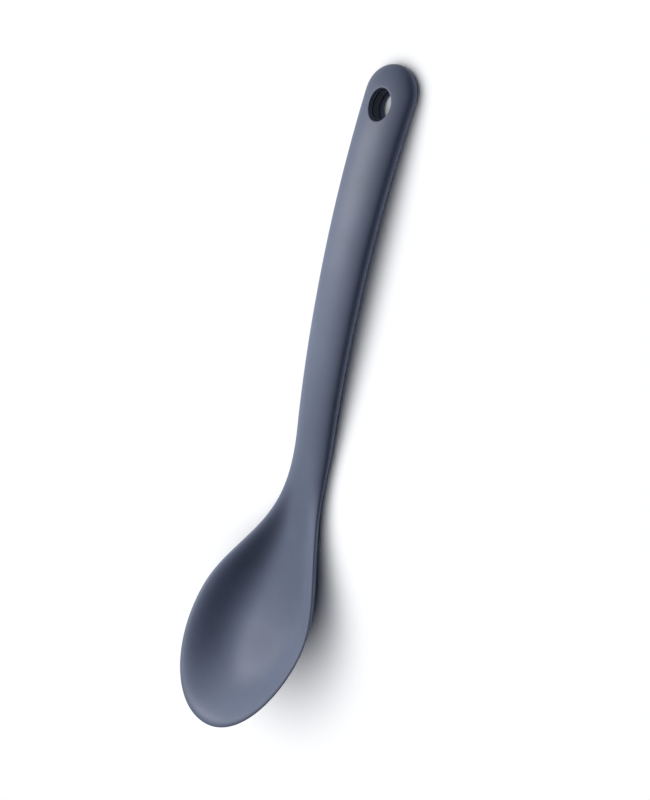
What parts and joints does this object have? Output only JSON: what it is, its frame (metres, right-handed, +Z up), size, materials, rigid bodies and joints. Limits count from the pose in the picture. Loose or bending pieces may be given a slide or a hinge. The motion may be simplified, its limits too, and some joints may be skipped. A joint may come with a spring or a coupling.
{
  "type": "serving spoon",
  "caption": "Silicone serving spoon with a teardrop bowl, a bowed rounded handle and an oval hanging hole, moulded over a stiff core.",
  "frame": {"origin": "on the surface that the spoon lies on, under the middle of its bounding box", "axes": "+Y from the bowl's tip to the handle's end, +X to the spoon's right, +Z up out of the bowl"},
  "size_m": [0.0662, 0.2932, 0.0412],
  "materials": {
    "silicone": "matte slate blue-grey silicone",
    "core": "slate grey glass-filled nylon"
  },
  "bodies": {
    "root": {"silicone_skin": "silicone", "stiffening_core": "core"}
  },
  "joints": []
}
